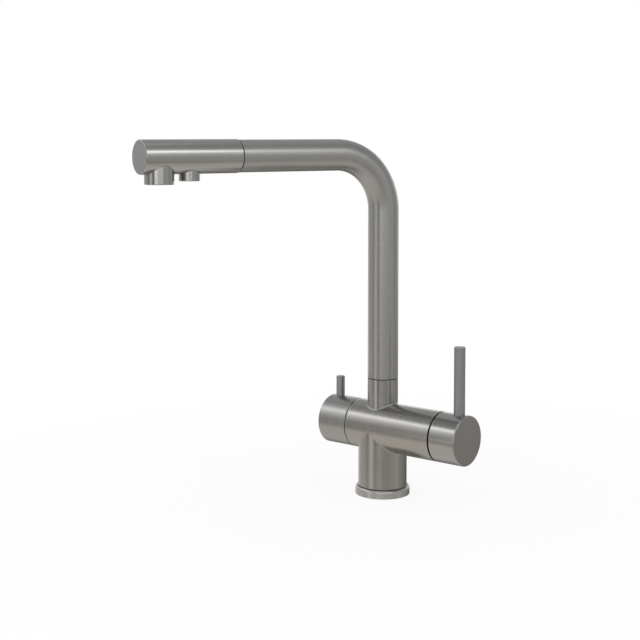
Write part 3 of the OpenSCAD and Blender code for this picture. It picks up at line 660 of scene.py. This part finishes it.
BACK_FOOT = [(-62, 0.6), (-46, 0.4), (-24, 0.2), (-14, 0.5), (-7, 1.0), (12, 1.7)]
BACK_LEFT_FOOT = [(-62, 0.9), (-46, 0.7), (-18, 0.9), (-9, 1.2), (-5, 1.1), (-2, 0.7), (4, 0.9), (12, 1.7)]
LEFT_EDGE_FOOT = [(-62, 0.95), (-28, 0.95), (-20, 0.8), (-10, 0.68), (10, 0.66)]
LEFT_FOOT = [(-62, 0.95), (-28, 1.0), (-21, 0.7), (-16, 0.41), (7, 0.41)]
LEFT_WHITE_FOOT = [(-62, 1.0), (-12, 0.95), (-8, 1.6), (-4, 1.5), (-1, 1.0), (10, 1.0)]
DARK_FOOT = [(-62, 0.95), (-24, 0.9), (-18, 0.6), (-10, 0.12), (-2, 0.12), (2, 0.4)]
SIDE_FOOT = [(-62, 0.95), (-24, 0.85)]
RIGHT_FOOT = [(-62, 0.8), (-46, 0.8), (-28, 0.5), (-22, 0.5), (-17, 0.8), (-12, 0.6), (-8, 0.5), (-3, 0.82)]
RIGHT_NEAR_FOOT = [(-62, 0.95), (-40, 0.9), (-26, 0.72), (-17, 0.75), (-6, 0.75), (1, 0.65), (6, 0.7)]
RIGHT_FAR_FOOT = [(-62, 0.95), (-40, 0.9), (-20, 0.49), (-6, 0.6), (2, 0.54), (8, 0.58)]
RIGHT_EDGE_FOOT = [(-62, 0.95), (-40, 0.7), (-20, 0.3), (-12, 0.45), (-6, 0.7), (8, 0.75)]
BACK_RIGHT_FOOT = [(-62, 0.6), (-40, 0.35), (-18, 0.15), (-12, 0.35), (-6, 0.9), (12, 1.6)]
print("levels ready, the brightest is", max(level for height, level in LEFT_BAND + RIGHT_BAND))

# %% [markdown]
# ## The three cards beside the camera
#
# These three make the narrow stripes that the pillar and the outlets' collars show in front. A strip
# a few degrees over the middle is brighter than the rest, and only pieces high up on the tap see it,
# which is where the two collars get their bright stripe from.

# %% Middles of the cards beside the camera
CAMERA_LEFT_MIDDLE = [(-16, 0.62), (-11, 0.54), (-4, 0.52), (-1, 0.75), (0.5, 2.6), (6, 2.6), (8, 0.9)]
CAMERA_MIDDLE = [(-16, 0.25), (-9, 0.56), (-4, 0.65), (-1, 1.0), (0.5, 1.5), (6, 1.5), (8, 0.9)]
GREY_MIDDLE = [(-16, 0.35), (-4, 0.35), (-1, 0.7), (0.5, 1.8), (6, 1.8), (8, 0.8)]
CAMERA_LEFT_LEVELS = SIDE_FOOT + CAMERA_LEFT_MIDDLE + PLAIN_TOP
CAMERA_LEVELS = SIDE_FOOT + CAMERA_MIDDLE + PLAIN_TOP
GREY_LEVELS = SIDE_FOOT + GREY_MIDDLE + PLAIN_TOP
print("levels per card:", len(CAMERA_LEFT_LEVELS), len(CAMERA_LEVELS), len(GREY_LEVELS))

# %% The table of cards
CARDS = [
    # name, from, to, levels by height
    ("card_back", -180, -160, BACK_FOOT + DULL_TOP),
    ("card_back_left", -160, -136, BACK_LEFT_FOOT + DULL_TOP),
    ("card_left_edge", -136, -88, LEFT_EDGE_FOOT + LEFT_BAND),
    ("card_left", -88, -69, LEFT_FOOT + LEFT_BAND),
    ("card_left_white", -69, -49, LEFT_WHITE_FOOT + PLAIN_TOP),
    ("card_dark", -49, -31, DARK_FOOT + PLAIN_TOP),
    ("card_camera_left", -31, -8, CAMERA_LEFT_LEVELS),
    ("card_camera", -8, 14, CAMERA_LEVELS),
    ("card_grey", 14, 31, GREY_LEVELS),
    ("card_right", 31, 63, RIGHT_FOOT + RIGHT_BAND),
    ("card_right_near", 63, 76, RIGHT_NEAR_FOOT + NEAR_FAR_BAND),
    ("card_right_far", 76, 106, RIGHT_FAR_FOOT + FAR_TOP),
    ("card_right_edge", 106, 134, RIGHT_EDGE_FOOT + FAR_TOP),
    ("card_back_right", 134, 180, BACK_RIGHT_FOOT + DULL_TOP),
]
print(len(CARDS), "cards in the table")

# %% [markdown]
# ## From the table to glowing strips
#
# A card is a strip of quads between two directions. Its material is one glow for all cards: the
# strength is the level on the mesh, and the colour goes from a warm white near the floor to a cool
# one higher up, as in a room lit from above.

# %% Card glow
CARD_R = 2.4
CARD_STEP = 6
MIDDLE = Vector((0, 0, 0.15))
CARD_WARM = (1.0, 0.945, 0.885)
CARD_COOL = (0.99, 1.0, 1.0)
TINT_HEIGHTS = (-0.7, 0.4)


def make_card_glow():
    material, tree, shader = new_material("card_glow")
    level = add_node(tree, "ShaderNodeAttribute", attribute_name="level").outputs["Fac"]
    height = split(tree, object_place(tree))[2]
    colour = tint(tree, spread(tree, height, *TINT_HEIGHTS, 0, 1), CARD_WARM, CARD_COOL)
    glow = add_node(tree, "ShaderNodeEmission", {"Color": colour, "Strength": level})
    tree.nodes.remove(shader)
    feed(tree, tree.nodes["Material Output"].inputs["Surface"], glow.outputs[0])
    return material


card_glow = make_card_glow()
print("glow ready")

# %% Cards
def from_camera(azimuth, elevation, distance):
    """A point in a direction counted from the camera's own."""
    a = math.radians(CAMERA_AZIMUTH + azimuth)
    e = math.radians(elevation)
    flat = math.cos(e)
    return MIDDLE + Vector((math.sin(a) * flat, -math.cos(a) * flat, math.sin(e))) * distance


def add_card(name, start, end, levels):
    columns = round((end - start) / CARD_STEP)
    points = []
    glow = []
    for column in range(columns + 1):
        for elevation, level in levels:
            points.append(from_camera(start + (end - start) * column / columns, elevation, CARD_R))
            glow.append(level)
    rows = len(levels)
    faces = []
    for column in range(columns):
        for row in range(rows - 1):
            corner = column * rows + row
            faces.append((corner, corner + 1, corner + rows + 1, corner + rows))
    mesh = bpy.data.meshes.new(name)
    mesh.from_pydata(points, [], faces)
    mesh.attributes.new("level", "FLOAT", "POINT").data.foreach_set("value", glow)
    mesh.materials.append(card_glow)
    card = bpy.data.objects.new(name, mesh)
    card.visible_camera = False
    bpy.context.scene.collection.objects.link(card)


for card in CARDS:
    add_card(*card)
print(len(CARDS), "cards round the tap,", CARD_R, "m away")

# %% [markdown]
# ## Colour and the last lines
#
# The Standard view shows colours as they are written.

# %% Finish
bpy.context.scene.view_settings.view_transform = "Standard"
